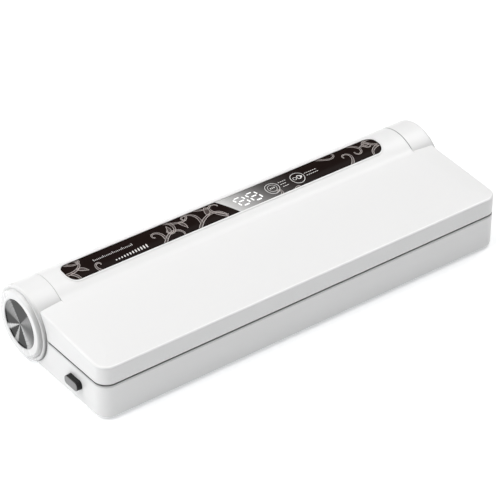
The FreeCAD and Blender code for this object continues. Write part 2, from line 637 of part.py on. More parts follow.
def lid_shell_with_bosses():
    """The lid shell, with the posts that the inner panel is screwed to."""
    shell = lid_shell()
    for x, y in PANEL_SCREWS:
        post = rod_z(3.2, x, y, LID_PANEL_Z[1], lid_top(y) - 2.0)
        shell = shell.fuse(post).cut(rod_z(BOSS_BORE_R, x, y, LID_PANEL_Z[1] - 1, LID_PANEL_Z[1] + 8))
    return shell.removeSplitter()


def pressure_strip():
    """Rubber strip that presses the bag on the heater."""
    z0 = LID_PANEL_Z[0]
    strip = block(-HEATER_X + 1, HEATER_X - 1, HEATER_Y[0] + 0.3, HEATER_Y[1] - 0.3, z0 - 1.2, z0 + STRIP_D)
    low = [e for e in strip.Edges if e.BoundBox.ZMax < z0 - 1.1 and e.BoundBox.XLength > 10]
    return strip.makeFillet(1.0, low)


def suction_nozzle():
    """Elbow that takes air from the upper trough to the hose."""
    top = HOSE_Z + 2.3
    trough_top = LID_PANEL_Z[0] + LID_TROUGH_D
    riser = rod_z(2.0, NOZZLE_X, NOZZLE_Y, trough_top + 0.1, HOSE_Z)
    collar = rod_z(4.0, NOZZLE_X, NOZZLE_Y, trough_top + TROUGH_WALL, top)
    barb = rod_y(BARB_R, NOZZLE_X, HOSE_Z, NOZZLE_Y, NOZZLE_Y + 12)
    bore = rod_y(BARB_BORE_R, NOZZLE_X, HOSE_Z, NOZZLE_Y, NOZZLE_Y + 13)
    drop = rod_z(BARB_BORE_R, NOZZLE_X, NOZZLE_Y, LID_PANEL_Z[0], HOSE_Z)
    return riser.fuse(collar).fuse(barb).cut(bore.fuse(drop)).removeSplitter()


# ---- inside the barrel ----


def pump_head():
    """The pump's block: a crank room, a cylinder on top and a hose barb at the front."""
    x0, x1 = PUMP_X
    head = rounded_block_x(x0, x1, AXIS_Y - PUMP_HALF, AXIS_Y + PUMP_HALF, *PUMP_Z, 3.0)
    head = head.fuse(rod_z(10.0, (x0 + x1) / 2 - 2, AXIS_Y, AXIS_Z + 9, AXIS_Z + 20))
    head = head.cut(rod_x(9.5, CRANK_X[0] - 2, x1 + 1))
    barb = rod_y(BARB_R, NOZZLE_X, PUMP_PORT_Z, PUMP_PORT_Y - 9, PUMP_PORT_Y + 3)
    bore = rod_y(BARB_BORE_R, NOZZLE_X, PUMP_PORT_Z, PUMP_PORT_Y - 10, PUMP_PORT_Y + 6)
    return head.fuse(barb).cut(bore).removeSplitter()


def rounded_block_x(x0, x1, y0, y1, z0, z1, radius):
    """A box whose four long edges along X are rounded."""
    body = block(x0, x1, y0, y1, z0, z1)
    return body.makeFillet(radius, [e for e in body.Edges if e.BoundBox.XLength > x1 - x0 - 0.1])


def pump_motor():
    """The motor's can, bored for its shaft, with its end cap's two terminals."""
    x0, x1 = MOTOR_X
    can = rod_x(MOTOR_R, x0 + 2, x1)
    can = can.fuse(rod_x(6.0, x0, x0 + 2)).fuse(rod_x(5.0, x1, x1 + 3))
    for dy in (-7, 7):
        can = can.fuse(block(x1, x1 + 5, AXIS_Y + dy - 0.4, AXIS_Y + dy + 0.4, AXIS_Z - 2, AXIS_Z + 2))
    return can.cut(rod_x(SHAFT_R + RUNNING_FIT, x0 - 1, x1 - 4)).removeSplitter()


def motor_shaft():
    """Shaft with the eccentric that works the pump."""
    shaft = rod_x(SHAFT_R, CRANK_X[0], MOTOR_X[1] - 5)
    disc = rod_x(7.0, CRANK_X[0], CRANK_X[1])
    peg = rod_x(1.6, CRANK_X[0] - 1.5, CRANK_X[0] + 0.5, AXIS_Y, AXIS_Z + 3.5)
    return shaft.fuse(disc).fuse(peg).removeSplitter()


def pump_plate():
    """Plate between the motor and the pump head."""
    plate = rounded_block_x(PUMP_X[1], MOTOR_X[0], AXIS_Y - PUMP_HALF, AXIS_Y + PUMP_HALF, *PUMP_Z, 3.0)
    return plate.cut(rod_x(6.0, PUMP_X[1] - 1, MOTOR_X[0] + 1))


def pump_cradle():
    """Rubber saddles that carry the pump in the barrel."""
    saddles = []
    for x0 in (MOTOR_X[0] + 8, MOTOR_X[1] - 14):
        x1 = x0 + 10
        saddle = rod_x(BARREL_IN, x0, x1).cut(rod_x(MOTOR_R + RUNNING_FIT, x0 - 1, x1 + 1))
        saddles.append(saddle.common(block(x0, x1, AXIS_Y - 16, AXIS_Y + 16, 0, AXIS_Z - 8)))
    return group(saddles)


def vacuum_hose():
    """Soft hose from the nozzle to the pump."""
    start = V(NOZZLE_X, NOZZLE_Y + 4.5, HOSE_Z)
    end = V(NOZZLE_X, PUMP_PORT_Y - 1.0, PUMP_PORT_Z)
    route = [start, V(NOZZLE_X, start.y + 9, HOSE_Z), V(NOZZLE_X, end.y - 9, end.z), end]
    return tube_path(route, HOSE_R, HOSE_BEND).cut(tube_path(route, BARB_R + RUNNING_FIT, HOSE_BEND))


def display_board():
    """Small board under the panel."""
    return panel_frame(block(-8, 78, -12, 12, *DISPLAY_BOARD))


def led_display():
    """Two-digit module on the board."""
    x0, x1 = DISPLAY_X
    module = block(x0, x1, -8, 8, DISPLAY_BOARD[1], 28.5)
    for x in (x0 + 3.0, (x0 + x1) / 2 + 1.5):
        module = module.cut(block(x, x + 10, -6.6, 6.6, 28.1, 29))
    return panel_frame(module)


def key_switches():
    """Tact switches under the two keys."""
    switches = []
    for x in KEY_X.values():
        switch = block(x - 3, x + 3, -3, 3, DISPLAY_BOARD[1], 26.2).fuse(rod_z(1.7, x, 0, 26.2, SWITCH_TOP))
        switches.append(panel_frame(switch))
    return group(switches)


def panel_overlay():
    """Glossy curved overlay, with round holes for its keys."""
    overlay = panel_plan(0.0, AXIS_Z, 80).common(barrel_skin(PANEL_R - PANEL_T, PANEL_R))
    for x in KEY_X.values():
        overlay = overlay.cut(panel_frame(rod_z(KEY_R + 0.1, x, 0, 20, 40)))
    return overlay


def panel_key(x):
    """A round key, flush with the overlay, with a wider skirt underneath."""
    cap = panel_frame(rod_z(KEY_R, x, 0, SKIRT_Z[0], 40)).common(rod_x(PANEL_R, -SEAM_X, SEAM_X))
    skirt = panel_frame(rod_z(KEY_R + 1.0, x, 0, *SKIRT_Z))
    stem = panel_frame(rod_z(1.6, x, 0, SWITCH_TOP + KEY_TRAVEL, SKIRT_Z[0]))
    return cap.fuse(skirt).fuse(stem).removeSplitter()


def control_board():
    """Main board low in the barrel, on four corner posts of its own."""
    board = block(BOARD_X[0], BOARD_X[1], AXIS_Y - 21, AXIS_Y + 21, BOARD_Z, BOARD_Z + BOARD_T)
    for x in (BOARD_X[0] + 5, BOARD_X[1] - 5):
        for dy in (-17, 17):
            post = rod_z(2.6, x, AXIS_Y + dy, 0, BOARD_Z)
            post = post.common(rod_x(BARREL_IN - RUNNING_FIT, -SEAM_X, SEAM_X))
            board = board.fuse(post)
    return board.removeSplitter()


def board_parts():
    """Transformer, relay, capacitor, connector and heat sink standing on the main board."""
    top = BOARD_Z + BOARD_T
    transformer = block(80, 116, AXIS_Y - 15, AXIS_Y + 15, top, top + 4)
    transformer = transformer.fuse(block(84, 112, AXIS_Y - 11, AXIS_Y + 11, top + 4, top + 24))
    relay = rounded(50, 69, AXIS_Y - 8, AXIS_Y + 7, top, top + 15, 1.0)
    capacitor = rod_z(6.5, 38, AXIS_Y + 8, top, top + 18)
    plug = block(-24, -14, AXIS_Y - 16, AXIS_Y - 9, top, top + 6)
    sink = block(18, 22, AXIS_Y - 16, AXIS_Y + 16, top, top + 14)
    for k in range(5):
        y = AXIS_Y - 14 + 6.5 * k
        sink = sink.fuse(block(22, 28, y, y + 1.5, top, top + 14))
    return {"transformer": transformer, "relay": relay, "capacitor": capacitor,
            "board_plug": plug, "heat_sink": sink.removeSplitter()}


def board_ribbon():
    """Flat ribbon from the display board down to the main board's plug."""
    top = BOARD_Z + BOARD_T + 6
    x0, x1 = -22.5, -15.5
    y = AXIS_Y - 12.5
    strip = block(x0, x1, y - 0.4, y + 0.4, top, AXIS_Z + 20)
    bridge = block(x0, -8.2, y - 0.4, y + 9, AXIS_Z + 19.2, AXIS_Z + 20)
    return strip.fuse(bridge).removeSplitter()


# ---- hinge, ends and inlet ----
def hinge_pin(side):
    """Hollow pin, pressed in the drum's web, that carries the lid and lets the leads through."""
    x0 = ROOM_HALF - 2
    pin = rod_x(PIN_R, x0, SEAM_X + 7).cut(rod_x(PIN_BORE_R, x0 - 1, SEAM_X + 8))
    return mirrored(pin, side)


def hinge_bush(side):
    """Plain bush in the lid barrel's end wall."""
    x0 = ROOM_HALF
    bush = rod_x(BUSH_R, x0, LID_END_X).fuse(rod_x(BUSH_R + 1.5, x0 - 1.2, x0))
    return mirrored(bush.cut(rod_x(PIN_R + RUNNING_FIT, x0 - 2, LID_END_X + 1)).removeSplitter(), side)


def end_bezel(side):
    """Stepped white ring in the drum's mouth, seated with a spigot."""
    face = HALF_LENGTH + CAP_OUT
    profile = [(HALF_LENGTH - 5.0, 26.2), (HALF_LENGTH - 5.0, BARREL_IN - 0.1),
               (HALF_LENGTH, BARREL_IN - 0.1), (HALF_LENGTH, 31.1), (HALF_LENGTH + 0.7, 31.0),
               (HALF_LENGTH + 1.6, 30.4), (HALF_LENGTH + 2.2, 29.4), (HALF_LENGTH + 2.2, 28.5),
               (HALF_LENGTH + 1.6, 27.3), (HALF_LENGTH + 3.6, 27.1), (face - 0.4, 26.6),
               (face, 25.8), (face, DISC_R + 0.6), (face - 0.5, DISC_R + 0.1), (face - 2.2, DISC_R + 0.1),
               (face - 2.2, 17.0), (HALF_LENGTH + 0.6, 17.0), (HALF_LENGTH + 0.6, 24.6),
               (HALF_LENGTH - 1.0, 26.2)]
    return turned(profile, side)


def end_disc(side):
    """Spun-metal disc, slightly dished, with a small raised centre."""
    face = HALF_LENGTH + CAP_OUT
    back = face - 2.2
    profile = [(back, 0.0), (back, DISC_R), (face - 0.5, DISC_R), (face - 0.3, DISC_R - 0.4),
               (face - 0.9, DISC_R - 1.6), (face - 1.2, 2.0), (face - 1.0, 0.0)]
    return turned(profile, side)


def mains_inlet():
    """Figure-8 mains inlet in the right face: flange, socket well and body."""
    half_w, half_h = INLET_HALF
    flange = rounded(-half_w - 2.4, half_w + 2.4, -half_h - 2.1, half_h + 2.1, 0, 1.2, 3.0)
    body = rounded(-half_w, half_w, -half_h, half_h, -INLET_DEPTH - 2.0, 0.6, 2.0)
    well = rounded(-half_w + 0.1, half_w - 0.1, -INLET_WELL_R, INLET_WELL_R, -INLET_DEPTH, 5,
                   INLET_WELL_R - 0.01)
    return to_side_face(flange.fuse(body).cut(well), 1, INLET_Y, INLET_Z).removeSplitter()


def inlet_pins():
    """The inlet's two contact pins."""
    pins = [rod_z(1.2, x, 0, -INLET_DEPTH, -2.0) for x in (-4.3, 4.3)]
    return group([to_side_face(pin, 1, INLET_Y, INLET_Z) for pin in pins])


def leads(side):
    """Insulated lead from the base, through the drum's front wall, into the hinge pin."""
    into_pin = [V(LEAD_X, AXIS_Y - 8, LEAD_Z), V(LEAD_X, AXIS_Y, AXIS_Z), V(SEAM_X + 4, AXIS_Y, AXIS_Z)]
    if side > 0:
        start = [V(LEAD_X, INLET_Y, INLET_Z + INLET_HALF[1]), V(LEAD_X, INLET_Y, LEAD_Z)]
    else:
        start = [V(HEATER_X + 5, -53, 22), V(HEATER_X + 5, -6, 22), V(LEAD_X, 0, LEAD_Z)]
    return mirrored(tube_path(start + into_pin, LEAD_R, LEAD_BEND), side)


# ---- every piece ----
save("base_casing", base_casing())
save("bottom_cover", bottom_cover())
save("bottom_screws", group([screw(x, y, FOOT_H + 0.1, SCREW_TOP, head_h=1.0) for x, y in BASE_SCREWS]))
save("rubber_feet", rubber_feet())
save("seal_deck", seal_deck())
save("lower_gasket", ring(GASKET_OUT, GASKET_IN, DECK_TOP - GROOVE_D, GASKET_Z[0]))
save("heater_bar", heater_bar())
middle_y = sum(HEATER_Y) / 2
save("heating_strip", block(-HEATER_X + 2, HEATER_X - 2, middle_y - 1.4, middle_y + 1.4, 30.8, 31.0))
save("nonstick_tape", heater_tape())
save("heater_terminals", heater_terminals())
save("lid_sensor", rod_z(2.5, SENSOR_X, SENSOR_Y, DECK_TOP - DECK_T - 3, DECK_TOP - 1.2))
save("mains_inlet", mains_inlet())
save("inlet_pins", inlet_pins())
save("inlet_leads", leads(1))
save("heater_leads", leads(-1))

save("latch_brackets", group([latch_bracket(side) for side in SIDES.values()]))
save("latch_pins", group([latch_pin(side) for side in SIDES.values()]))
save("hinge_pins", group([hinge_pin(side) for side in SIDES.values()]))

for side_name, side in SIDES.items():
    save("release_button_" + side_name, release_button(side))
    save("latch_hook_" + side_name, latch_hook(side))
    save("latch_spring_" + side_name, latch_spring(side))
    save("lid_catch_" + side_name, lid_catch(side))
    save("hinge_bush_" + side_name, hinge_bush(side))
    save("end_bezel_" + side_name, end_bezel(side))
    save("end_disc_" + side_name, end_disc(side))

save("lid_shell", lid_shell_with_bosses())
save("barrel_cover", barrel_cover())
save("barrel_screws", group([screw(x, y, 10.8, AXIS_Z + 4) for x, y in COVER_SCREWS]))
save("lid_inner_panel", lid_inner_panel())
save("panel_screws", group([screw(x, y, LID_PANEL_Z[0], 42.0, head_h=1.1) for x, y in PANEL_SCREWS]))
save("upper_gasket", ring(GASKET_OUT, GASKET_IN, GASKET_Z[1], LID_PANEL_Z[0] + GROOVE_D))
save("pressure_strip", pressure_strip())
save("lid_magnet", rod_z(2.5, SENSOR_X, SENSOR_Y, LID_PANEL_Z[0] + 0.6, LID_PANEL_Z[1]))
save("suction_nozzle", suction_nozzle())
save("vacuum_hose", vacuum_hose())
save("pump_head", pump_head())
save("pump_plate", pump_plate())
save("pump_motor", pump_motor())
save("motor_shaft", motor_shaft())
save("pump_cradle", pump_cradle())
save("panel_overlay", panel_overlay())
for key_name, key_x in KEY_X.items():
    save(key_name + "_key", panel_key(key_x))
save("key_switches", key_switches())
save("display_board", display_board())
save("led_display", led_display())
save("board_ribbon", board_ribbon())
save("control_board", control_board())
for part_name, part_shape in board_parts().items():
    save(part_name, part_shape)
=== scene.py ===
import json
import math

import bmesh
import bpy
from mathutils import Matrix, Vector


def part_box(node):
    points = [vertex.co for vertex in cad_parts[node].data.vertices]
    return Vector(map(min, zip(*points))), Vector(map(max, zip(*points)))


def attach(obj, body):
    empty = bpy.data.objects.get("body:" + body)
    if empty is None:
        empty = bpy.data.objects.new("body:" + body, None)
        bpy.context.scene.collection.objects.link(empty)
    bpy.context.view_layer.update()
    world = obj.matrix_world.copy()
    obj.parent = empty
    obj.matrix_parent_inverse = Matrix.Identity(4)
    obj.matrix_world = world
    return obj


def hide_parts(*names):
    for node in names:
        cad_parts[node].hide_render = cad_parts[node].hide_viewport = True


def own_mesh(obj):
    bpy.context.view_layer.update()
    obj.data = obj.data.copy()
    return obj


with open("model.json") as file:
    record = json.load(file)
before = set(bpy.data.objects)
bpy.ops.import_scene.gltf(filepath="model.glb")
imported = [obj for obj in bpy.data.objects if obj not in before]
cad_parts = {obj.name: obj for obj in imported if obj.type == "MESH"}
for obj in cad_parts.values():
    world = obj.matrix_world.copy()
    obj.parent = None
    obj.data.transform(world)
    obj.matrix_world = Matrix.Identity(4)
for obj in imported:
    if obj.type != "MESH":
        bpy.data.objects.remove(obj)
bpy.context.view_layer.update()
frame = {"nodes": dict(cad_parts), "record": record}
MM = 0.001

# ---- camera: a long lens, from the front left and above ----
CAMERA_AZIMUTH = math.radians(-37.085)
CAMERA_ELEVATION = math.radians(35.031)
CAMERA_ROLL = math.radians(0.071)
CAMERA_DISTANCE = 1.9521
CAMERA_AIM = Vector((-0.00652, -0.00053, 0.04048))
LENS = 182.17

# ---- places read from the frame ----
disc_low, disc_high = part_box("end_disc_left")
panel_low, panel_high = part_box("panel_overlay")
AXIS_Y = (disc_low.y + disc_high.y) / 2          # the barrel's axis
AXIS_Z = (disc_low.z + disc_high.z) / 2
BEZEL_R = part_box("end_bezel_left")[1].z - AXIS_Z  # the end rings' outer radius
PANEL_R = panel_high.z - AXIS_Z                  # the display panel's radius about that axis
BUTTON_FACE = -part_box("release_button_left")[0].x  # how far out the buttons' faces are
SEAM_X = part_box("barrel_cover")[1].x + 0.0032    # where the turning barrel ends
GAP_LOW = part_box("seal_deck")[1].z + 1.1 * MM    # the parting line between base and lid
GAP_HIGH = GAP_LOW + 1.4 * MM
SHADE_DEPTH = 2.3 * MM                           # how far the parting line's shade reaches down
EDGE_LOW = GAP_LOW + 14.6 * MM                   # just under the rounding of the lid's upper edge
BARREL_SKIN = 31.0 * MM                          # within this radius a point is on the barrel
BARREL_CLEAR = 33.0 * MM                         # and beyond this one it is not

# ---- the panel's layout: x along it, v across it from its middle line towards the rear ----
PANEL_FRONT = math.atan2(panel_low.z - AXIS_Z, panel_low.y - AXIS_Y)
PANEL_REAR = math.acos((panel_high.y - AXIS_Y) / PANEL_R)
PANEL_MIDDLE = (PANEL_FRONT + PANEL_REAR) / 2
PANEL_HALF = (PANEL_FRONT - PANEL_REAR) / 2 * PANEL_R
PANEL_CORNER = 8.0 * MM
PRINT_MARGIN = 0.5 * MM
PRINT_LIFT = 0.05 * MM
PRINT_SINK = 0.02 * MM
KEYS = {name: (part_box(name)[0].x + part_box(name)[1].x) / 2 for name in ("mode_key", "seal_key")}
KEY_ANGLE = math.radians(98.0)                   # the keys' and display's place round the barrel
KEY_V = (PANEL_MIDDLE - KEY_ANGLE) * PANEL_R
LINE_W = 0.42 * MM                               # the ornament's lines
SCROLL_W = 2.3 * MM                              # a scroll's band where it starts
DIGIT_H = 10.0 * MM
DIGIT_W = 8.4 * MM
DIGIT_SLANT = -0.34
DIGIT_STROKE = 1.25 * MM
DIGIT_X = (9.8 * MM, 21.8 * MM)
SEGMENT_GAP_LEVEL = 1.7 * MM                     # what a level segment leaves free at each end
SEGMENT_GAP_UPRIGHT = 0.75 * MM
TICKS = 25                                       # the row of time ticks
TICK_X = -127.5 * MM
TICK_PITCH = 1.45 * MM
TICK_V = 0.2 * MM
BARS = 12                                        # the rising row of level bars
BAR_X = -112.0 * MM
BAR_PITCH = 2.6 * MM
BAR_V = -7.4 * MM
DASH = 1.5 * MM                                  # the dashes beside the keys
DASH_PITCH = 2.0 * MM
DASH_ROW = 2.9 * MM
KEY_RING_R = 6.05 * MM
KEY_RING_W = 0.45 * MM


# ---- node helpers ----
class Nodes:
    """A material's node tree, written one call per node."""

    def __init__(self, name):
        self.material = bpy.data.materials.new(name)
        self.material.use_nodes = True
        self.tree = self.material.node_tree
        self.shader = self.tree.nodes["Principled BSDF"]
        where = self.tree.nodes.new("ShaderNodeTexCoord").outputs
        self.place = where["Object"]
        self.normal = where["Normal"]

    def put(self, socket, value):
        if isinstance(value, bpy.types.NodeSocket):
            self.tree.links.new(value, socket)
        else:
            socket.default_value = value

    def add(self, kind, settings=None, **inputs):
        node = self.tree.nodes.new(kind)
        for key, value in (settings or {}).items():
            setattr(node, key, value)
        for key, value in inputs.items():
            self.put(node.inputs[key.replace("_", " ")], value)
        return node

    def set(self, **inputs):
        for key, value in inputs.items():
            self.put(self.shader.inputs[key.replace("_", " ")], value)

    def noise(self, scale, detail=3.0, roughness=0.5, vector=None):
        return self.add("ShaderNodeTexNoise", Vector=vector or self.place, Scale=scale, Detail=detail,
                        Roughness=roughness).outputs["Fac"]

    def map(self, value, low, high, start=0.0, end=1.0):
        """Rescale a value from start..end to low..high, held at both ends."""
        node = self.add("ShaderNodeMapRange")
        for socket, item in zip(node.inputs, (value, start, end, low, high)):
            self.put(socket, item)
        return node.outputs[0]

    def mix(self, factor, first, second):
        node = self.add("ShaderNodeMix", {"data_type": "RGBA"})
        self.put(node.inputs[0], factor)
        self.put(node.inputs[6], first)
        self.put(node.inputs[7], second)
        return node.outputs[2]

    def math(self, operation, first, second=0.0):
        node = self.add("ShaderNodeMath", {"operation": operation})
        self.put(node.inputs[0], first)
        self.put(node.inputs[1], second)
        return node.outputs[0]

    def times(self, first, *others):
        """The product of several values."""
        for other in others:
            first = self.math("MULTIPLY", first, other)
        return first

    def axes(self):
        """The surface's x, y and z."""
        return self.add("ShaderNodeSeparateXYZ", Vector=self.place).outputs

    def round_barrel(self):
        """Distance from the barrel's axis, and angle round it from the rear over the top."""
        _, y, z = self.axes()
        y = self.math("SUBTRACT", y, AXIS_Y)
        z = self.math("SUBTRACT", z, AXIS_Z)
        squares = self.math("ADD", self.times(y, y), self.times(z, z))
        return self.math("SQRT", squares), self.math("ARCTAN2", z, y)

    def band(self, value, low, high, soft):
        """1 between two values, 0 outside, with soft edges."""
        rises = self.map(value, 0.0, 1.0, low - soft, low)
        falls = self.map(value, 1.0, 0.0, high, high + soft)
        return self.times(rises, falls)

    def bump(self, height, strength, distance, edge=0.0):
        """A normal from a height, over edges rounded by a small radius."""
        node = self.add("ShaderNodeBump", Strength=strength, Distance=distance, Height=height)
        if edge:
            rounded = self.add("ShaderNodeBevel", {"samples": 4}, Radius=edge)
            self.put(node.inputs["Normal"], rounded.outputs["Normal"])
        return node.outputs["Normal"]

    def ramp(self, factor, stops):
        """A grey ramp through (place, level) stops."""
        node = self.add("ShaderNodeValToRGB", Fac=factor)
        points = node.color_ramp.elements
        while len(points) < len(stops):
            points.new(0.5)
        for point, (place, level) in zip(points, stops):
            point.position = place
            point.color = grey(level)
        return node.outputs["Color"]


def grey(level, warm=0.0):
    """A linear grey, a little warm or cool."""
    return (level * (1 + warm), level, level * (1 - warm), 1.0)


# ---- materials ----
WHITE = 0.80                                     # the casing's grey level


def moulded(name, level, roughness, grain_scale, grain_depth, tint=0.02, warm=0.0, edge=0.0):
    """Moulded plastic: a faint flow mottle, and a fine spark grain in the surface."""
    n = Nodes(name)
    flow = n.noise(9.0, 4.0)
    n.set(Base_Color=n.mix(flow, grey(level * (1 - tint), warm), grey(level * (1 + tint), warm)))
    n.set(Roughness=n.map(n.noise(42.0, 5.0, 0.6), roughness - 0.05, roughness + 0.05))
    n.set(Normal=n.bump(n.noise(grain_scale, 2.0), 0.25, grain_depth, edge), IOR=1.5)
    return n


def parting_line_shade(n, x, y, z):
    """Painted shade in the parting line's gap between lid and base, fainter along the front, with a painted
    soft shade on the base under it.
    """
    inside = n.band(z, GAP_LOW, GAP_HIGH, 0.08 * MM)
    towards_end = n.map(n.math("ABSOLUTE", x), 0.30, 0.75, 180.0 * MM, 187.0 * MM)
    rising = n.map(z, 0.0, 0.56, GAP_LOW - SHADE_DEPTH, GAP_LOW)
    shade = n.times(rising, n.map(z, 1.0, 0.0, GAP_LOW, GAP_HIGH))
    before_barrel = n.map(y, 1.0, 0.0, 3.0 * MM, 4.5 * MM)
    return n.times(n.math("MAXIMUM", n.times(inside, towards_end), shade), before_barrel)


def upper_edge_highlight(n, x, y, z):
    """Painted highlight on the lid's rounded upper edge: strongest along the front, fading towards the ends.
    """
    facing = n.add("ShaderNodeSeparateXYZ", Vector=n.normal).outputs["Z"]
    turning = n.band(facing, 0.35, 0.975, 0.01)
    high_up = n.map(z, 0.0, 1.0, EDGE_LOW, EDGE_LOW + 0.3 * MM)
    before_barrel = n.map(y, 1.0, 0.0, -30.0 * MM, 4.0 * MM)
    towards_end = n.map(n.math("ABSOLUTE", x), 1.0, 0.45, 176.0 * MM, 189.0 * MM)
    return n.times(turning, high_up, before_barrel, towards_end)


def barrel_seam_shade(n, x, radius):
    """Painted shade in the seam where the turning barrel meets the right end drum."""
    ring = n.band(n.math("ABSOLUTE", x), SEAM_X - 0.1 * MM, SEAM_X + 0.55 * MM, 0.05 * MM)
    on_barrel = n.map(radius, 0.0, 1.0, BARREL_CLEAR, BARREL_SKIN)
    return n.times(ring, on_barrel, n.map(x, 0.0, 0.8, -1.0 * MM, 1.0 * MM))


def shell_white():
    """The white casing: satin plastic, with painted shade in its parting line and barrel seam and a painted
    highlight along the lid's upper edge.
    """
    n = moulded("shell_white", WHITE, 0.32, 1400.0, 0.02 * MM, 0.008, 0.0, 0.35 * MM)
    surface_tone = n.shader.inputs["Base Color"].links[0].from_socket
    x, y, z = n.axes()
    radius, _ = n.round_barrel()
    # painted highlight: the lid's upper edge lightened towards near-white
    surface_tone = n.mix(upper_edge_highlight(n, x, y, z), surface_tone, grey(0.95))
    painted_joint_shade = n.math("MAXIMUM", parting_line_shade(n, x, y, z), barrel_seam_shade(n, x, radius))
    # painted shade: the parting line and the barrel seam are mixed towards near-black
    n.set(Base_Color=n.mix(painted_joint_shade, surface_tone, grey(0.06)))
    return n.material


# Painted shade in the grooves turned in an end ring, on their front side: inner radius, outer radius and
# softness in mm.
BEZEL_GROOVE_SHADE = ((25.8, 27.3, 0.9), (29.6, 30.6, 0.6))


def bezel_white():
    """The end rings: the casing's plastic, with painted shade in the turned grooves on the front side and a
    painted shadow under the outer rim.
    """
    n = moulded("bezel_white", WHITE, 0.28, 1400.0, 0.015 * MM, 0.008, 0.0, 0.3 * MM)
    surface_tone = n.shader.inputs["Base Color"].links[0].from_socket
    _, y, z = n.axes()
    radius, _ = n.round_barrel()
    grooves = [n.band(radius, low * MM, high * MM, soft * MM) for low, high, soft in BEZEL_GROOVE_SHADE]
    front = n.map(y, 0.75, 0.0, AXIS_Y - 24.0 * MM, AXIS_Y - 2.0 * MM)
    # painted shade: the grooves darkened on the front side of the ring
    surface_tone = n.mix(n.times(n.math("MAXIMUM", *grooves), front), surface_tone, grey(0.45))
    rim = n.map(radius, 0.0, 1.0, BEZEL_R - 1.0 * MM, BEZEL_R - 0.4 * MM)
    centre = AXIS_Y + AXIS_Z
    below = n.map(n.math("ADD", y, z), 0.9, 0.0, centre - 40.0 * MM, centre - 4.0 * MM)
    # painted shadow: the outer rim darkened towards the lower front, where it meets the body
    n.set(Base_Color=n.mix(n.times(rim, below), surface_tone, grey(0.08)))
    return n.material


RINGS_PER_M = 1300.0

# Painted reflection: light and dark sectors of a spun disc, by turn: from the front, under the axis, up the
# rear and over.
PAINTED_DISC_FAN = [(0.000, 0.11), (0.030, 0.14), (0.090, 0.30), (0.135, 0.56), (0.166, 0.56), (0.174, 0.022),
            (0.278, 0.026), (0.286, 0.44), (0.316, 0.55), (0.324, 0.008), (0.383, 0.012), (0.390, 0.60),
            (0.416, 0.66), (0.424, 0.024), (0.510, 0.022), (0.540, 0.22), (0.640, 0.31), (0.655, 0.024),
            (0.855, 0.022), (0.868, 0.24), (0.905, 0.27), (0.965, 0.11), (1.000, 0.11)]


def spun_metal():
    """Lathe-turned disc: fine rings, and a painted reflection of the light and dark sectors that they throw.
    """
    n = Nodes("spun_metal")
    radius, angle = n.round_barrel()
    outward = n.add("ShaderNodeCombineXYZ", X=n.times(radius, RINGS_PER_M)).outputs[0]
    rings = n.noise(1.0, 2.0, 0.7, outward)
    turn = n.math("DIVIDE", n.math("ADD", angle, math.pi), 2 * math.pi)
    wander = n.times(n.math("SUBTRACT", rings, 0.5), 0.05)
    painted_fan = n.ramp(n.math("ADD", turn, wander), PAINTED_DISC_FAN)
    n.set(Base_Color=n.mix(n.map(rings, 0.0, 0.6, 0.35, 0.75), painted_fan, grey(0.045)), Metallic=1.0)
    n.set(Roughness=n.map(rings, 0.30, 0.46), Normal=n.bump(rings, 0.35, 0.02 * MM))
    return n.material


# How much silver there is along the panel, from the field's slanted start to where it has gone.
SILVER_FADE = [(0.00, 0.85), (0.05, 0.71), (0.10, 0.58), (0.18, 0.45), (0.25, 0.30), (0.32, 0.20),
               (0.42, 0.085), (0.55, 0.032), (0.68, 0.008), (0.80, 0.0)]


def overlay_print():
    """Printed panel: near-black brown, with a slanted silver field that fades out to the right."""
    n = Nodes("overlay_print")
    x, _, _ = n.axes()
    _, angle = n.round_barrel()
    sweep = n.math("POWER", n.map(angle, 0.0, 1.0, PANEL_REAR, PANEL_FRONT), 1.6)
    along = n.math("SUBTRACT", x, n.map(sweep, -7.5 * MM, 3.0 * MM))
    silver = n.ramp(n.map(along, 0.0, 1.0, 0.0, 100.0 * MM), SILVER_FADE)
    silver = n.times(silver, n.map(along, 0.0, 1.0, -0.25 * MM, 0.25 * MM))
    dark = n.mix(n.noise(30.0), (0.0110, 0.0068, 0.0060, 1.0), (0.0130, 0.0082, 0.0072, 1.0))
    n.set(Base_Color=n.mix(silver, dark, (0.70, 0.695, 0.69, 1.0)))
    n.set(Roughness=n.map(n.noise(60.0), 0.16, 0.24), Specular_IOR_Level=0.02)
    n.set(Normal=n.bump(n.noise(350.0, 2.0), 0.05, 0.02 * MM, 0.2 * MM))
    return n.material


def ink(name, colour, roughness, glow=0.0):
    """Screen-print ink: slightly uneven, slightly rough."""
    n = Nodes(name)
    worn = n.noise(900.0, 3.0, 0.6)
    thin = tuple(0.86 * c for c in colour) + (1.0,)
    full = tuple(colour) + (1.0,)
    n.set(Base_Color=n.mix(worn, thin, full), Roughness=n.map(worn, roughness, roughness + 0.15))
    n.set(Normal=n.bump(worn, 0.2, 0.01 * MM), Specular_IOR_Level=0.3)
    if glow:
        n.set(Emission_Color=full, Emission_Strength=glow)
    return n.material


def push_button():
    """Release button: near-black sides, a lighter satin face."""
    n = moulded("push_button", 0.012, 0.42, 1200.0, 0.03 * MM, 0.08, 0.0, 0.2 * MM)
    sides = n.shader.inputs["Base Color"].links[0].from_socket
    x, _, _ = n.axes()
    out = n.map(n.math("ABSOLUTE", x), 0.0, 1.0, BUTTON_FACE - 0.45 * MM, BUTTON_FACE - 0.25 * MM)
    satin = n.mix(n.noise(1500.0), grey(0.21), grey(0.28))
    n.set(Base_Color=n.mix(out, sides, satin), Specular_IOR_Level=0.3)
    return n.material


